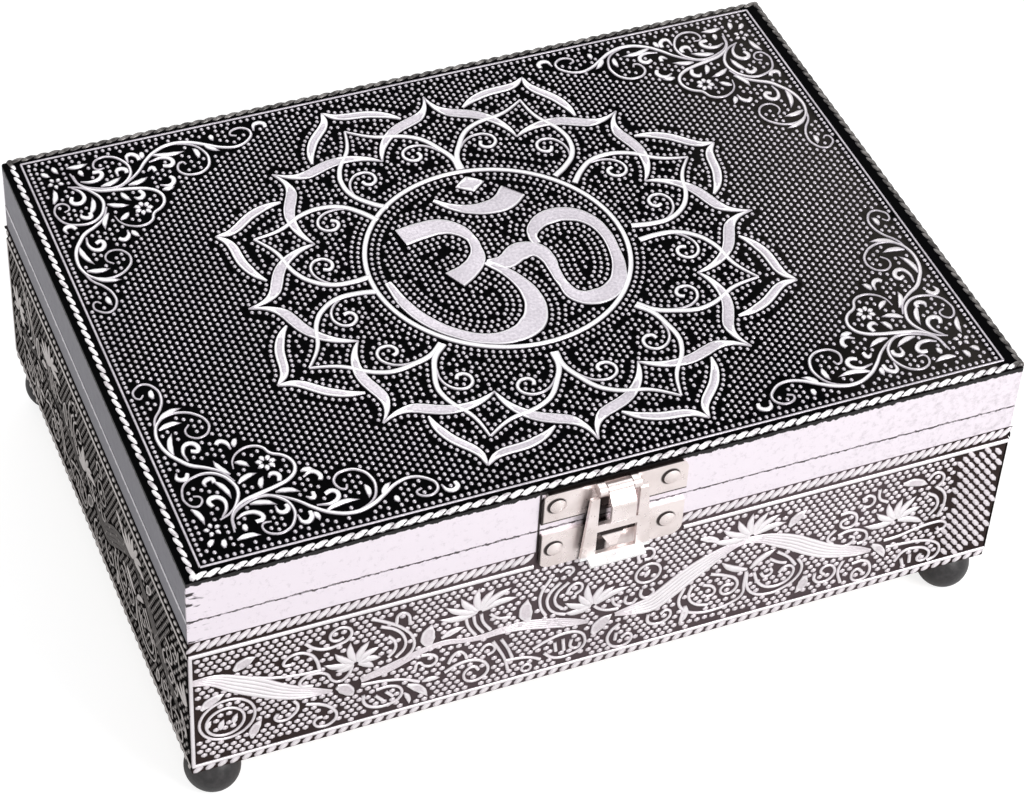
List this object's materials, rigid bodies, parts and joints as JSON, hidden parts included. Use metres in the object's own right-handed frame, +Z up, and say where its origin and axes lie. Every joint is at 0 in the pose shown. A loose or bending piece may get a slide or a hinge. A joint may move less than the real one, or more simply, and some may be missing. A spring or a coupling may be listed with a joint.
{
  "type": "hinged card box",
  "caption": "Small wooden keepsake box for a deck of cards, clad in embossed white metal, with a hinged lid, a snap hasp and ball feet.",
  "frame": {"origin": "on the table, under the centre of the whole object's footprint", "axes": "+X along the width to the right, -Y out of the front with the latch, +Z up"},
  "size_m": [0.178, 0.1358, 0.0673],
  "materials": {
    "embossed_sheet": "thin embossed white metal, blackened in the recesses and polished on the raised figures",
    "wood": "plain sawn softwood, sanded",
    "velvet": "dark red velvet on card",
    "black_wood": "turned wood, black satin paint",
    "nickel": "stamped steel, nickel plated",
    "steel": "bright wire brads and screws"
  },
  "bodies": {
    "box": {"back_lining": "velvet", "back_sheet": "embossed_sheet", "back_wall": "wood", "base_board": "wood", "base_brads": "steel", "corner_brads": "steel", "floor_lining": "velvet", "foot_back_left": "black_wood", "foot_back_right": "black_wood", "foot_front_left": "black_wood", "foot_front_right": "black_wood", "foot_screws": "steel", "front_lining": "velvet", "front_sheet": "embossed_sheet", "front_wall": "wood", "hinge_body_nails": "nickel", "hinge_left_body_leaf": "nickel", "hinge_left_pin": "nickel", "hinge_right_body_leaf": "nickel", "hinge_right_pin": "nickel", "latch_lower_nails": "nickel", "latch_lower_plate": "nickel", "left_lining": "velvet", "left_sheet": "embossed_sheet", "left_wall": "wood", "right_lining": "velvet", "right_sheet": "embossed_sheet", "right_wall": "wood"},
    "lid": {"hinge_left_lid_leaf": "nickel", "hinge_lid_nails": "nickel", "hinge_right_lid_leaf": "nickel", "latch_pin": "nickel", "latch_upper_nails": "nickel", "latch_upper_plate": "nickel", "lid_back_band": "embossed_sheet", "lid_back_lining": "velvet", "lid_back_rail": "wood", "lid_brads": "steel", "lid_front_band": "embossed_sheet", "lid_front_lining": "velvet", "lid_front_rail": "wood", "lid_left_band": "embossed_sheet", "lid_left_lining": "velvet", "lid_left_rail": "wood", "lid_panel": "wood", "lid_panel_lining": "velvet", "lid_right_band": "embossed_sheet", "lid_right_lining": "velvet", "lid_right_rail": "wood", "lid_sheet": "embossed_sheet"},
    "hasp": {"hasp": "nickel"}
  },
  "joints": [
    {"name": "lid_hinge", "type": "hinge", "parent": "box", "child": "lid", "pos_m": [0, 0.0664, 0.05515], "axis": [-1, 0, 0], "range_deg": [0, 110]},
    {"name": "hasp_hinge", "type": "hinge", "parent": "lid", "child": "hasp", "pos_m": [0, -0.06475, 0.0643], "axis": [-1, 0, 0], "range_deg": [-3.5, 110]}
  ]
}
